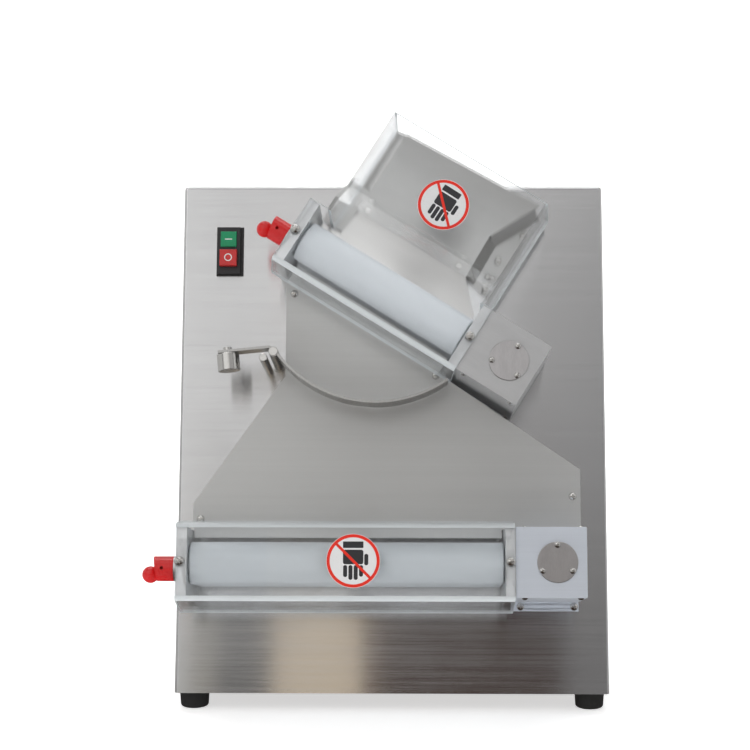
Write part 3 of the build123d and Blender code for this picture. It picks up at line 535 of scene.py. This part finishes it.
# a plain white surround that only the camera sees, so that the room stays dim in the steel
cube = [(x, y, z) for x in (-SURROUND, SURROUND) for y in (-SURROUND, SURROUND)
        for z in (FLOOR_Z - 0.05, SURROUND)]
sides = [(0, 1, 3, 2), (4, 6, 7, 5), (0, 4, 5, 1), (2, 3, 7, 6), (0, 2, 6, 4), (1, 5, 7, 3)]
surround = stage_mesh("studio_surround", cube, sides, glow("surround_white", (1, 1, 1), 1.0))
surround.visible_diffuse = False
surround.visible_glossy = False
surround.visible_shadow = False
surround.visible_volume_scatter = False

world = bpy.data.worlds.new("studio_world")
world.use_nodes = True
world.node_tree.nodes["Background"].inputs["Color"].default_value = (1.0, 1.0, 1.0, 1)
world.node_tree.nodes["Background"].inputs["Strength"].default_value = 0.12
bpy.context.scene.world = world

# What stands in front of the machine, mirrored in its steel: soft light above a dim room with
# upright bands.  Each band gives the x of its right edge and its tone; the light above gives
# a tone at each x.
BANDS = [(-0.370, (0.62, 0.62, 0.60)), (-0.318, (0.34, 0.32, 0.28)), (-0.217, (0.14, 0.135, 0.13)),
         (-0.055, (0.68, 0.57, 0.43)), (-0.02, (0.12, 0.08, 0.06)), (0.30, (0.035, 0.012, 0.004)),
         (2.0, (0.20, 0.195, 0.195))]
ABOVE = [(-0.45, 1.0), (-0.24, 0.93), (-0.05, 0.84), (0.10, 0.66), (0.22, 0.45), (0.40, 0.36), (1.2, 0.30)]


def upper_tone(x, z):
    value = ABOVE[0][1]
    for (x0, v0), (x1, v1) in zip(ABOVE, ABOVE[1:]):
        if x > x0:
            value = v0 + (v1 - v0) * min(1.0, (x - x0) / (x1 - x0))
    lift = 1.0 + 0.9 * ease((z - 1.0) / 0.6) * ease((x + 0.1) / 0.3)
    return tuple(value * lift * c for c in (1.0, 0.995, 0.99))


def lower_tone(x):
    for edge_x, tone in BANDS:
        if x <= edge_x:
            return tone
    return BANDS[-1][1]


def card_tone(v):
    t = ease((v[2] - SPLIT_Z + 0.04) / 0.08)
    low, high = lower_tone(v[0]), upper_tone(v[0], v[2])
    return tuple(a + (b - a) * t for a, b in zip(low, high))


columns = {round(-2.0 + 0.1 * k, 3) for k in range(41)}
for right_edge, _ in BANDS[:-1]:
    columns |= {round(right_edge - 0.004, 3), round(right_edge + 0.004, 3)}
columns = sorted(columns)
rows = [FLOOR_Z, 0.3, 0.55, 0.64] + [SPLIT_Z + 0.02 * k for k in range(-2, 3)] + \
       [0.8 + 0.1 * k for k in range(9)] + [1.8]
verts = [(x, CARD_Y, z) for z in rows for x in columns]
toned("studio_card", verts, grid_faces(len(rows), len(columns)), card_tone)


def wall_tone(v):
    """Side and back walls of the room: dimmer at the floor, lighter above."""
    t = 0.50 + 0.36 * ease((v[2] - FLOOR_Z) / 2.2)
    return (t, t, t * 0.99)


front_left, back_left = (-ROOM_X, ROOM_Y[0]), (-ROOM_X, ROOM_Y[1])
front_right, back_right = (ROOM_X, ROOM_Y[0]), (ROOM_X, ROOM_Y[1])
heights = [FLOOR_Z + 0.25 * k for k in range(13)]
for name, corners in (("back", (back_left, back_right)), ("left", (front_left, back_left)),
                      ("right", (front_right, back_right))):
    verts = [(x, y, z) for z in heights for x, y in corners]
    wall = toned("studio_wall_" + name, verts, grid_faces(len(heights), 2), wall_tone)
    wall.visible_diffuse = False


def ground_tone(v):
    """The ground as the steel mirrors it: a dark worktop in front, pale paper all round."""
    pale = max(ease((abs(v[0]) - BENCH_X) / 0.2), ease(v[1] / 0.1))
    return tuple(a + (0.52 - a) * pale for a in (0.055, 0.04, 0.032))


across_x = (-ROOM_X, -BENCH_X - 0.2, -BENCH_X - 0.1, -BENCH_X, BENCH_X, BENCH_X + 0.1, BENCH_X + 0.2, ROOM_X)
along_y = (CARD_Y, 0.0, 0.1, ROOM_Y[1])
verts = [(x, y, FLOOR_Z + 0.001) for y in along_y for x in across_x]
ground = toned("studio_ground", verts, grid_faces(len(along_y), len(across_x)), ground_tone)
ground.visible_diffuse = False

emitter("key_left", (-1.8, -2.0, 2.8), (1.8, 1.6), MIDDLE, (1.0, 0.995, 0.98), 14)
emitter("fill_right", (1.8, -2.0, 2.4), (1.2, 1.4), MIDDLE, (1.0, 0.985, 0.96), 5)
emitter("top", (0.0, -0.9, 2.8), (2.4, 1.2), MIDDLE, (1, 1, 1), 10)
emitter("backdrop", (0.0, 1.0, 3.2), (3.0, 1.5), (0, 3.0, 0.8), (1, 1, 1), 60)

# ---- camera --------------------------------------------------------------
cam_data = bpy.data.cameras.new("view")
cam_data.sensor_width = 36.0
cam_data.lens = 90.96
cam_data.shift_x = -0.0155
cam = bpy.data.objects.new("view", cam_data)
cam.location = (0.0296, -1.9336, 0.5154)
cam.rotation_euler = (math.radians(84.143), 0.0, math.radians(0.712))
bpy.context.scene.collection.objects.link(cam)
bpy.context.scene.camera = cam
bpy.context.scene.view_settings.view_transform = "Standard"
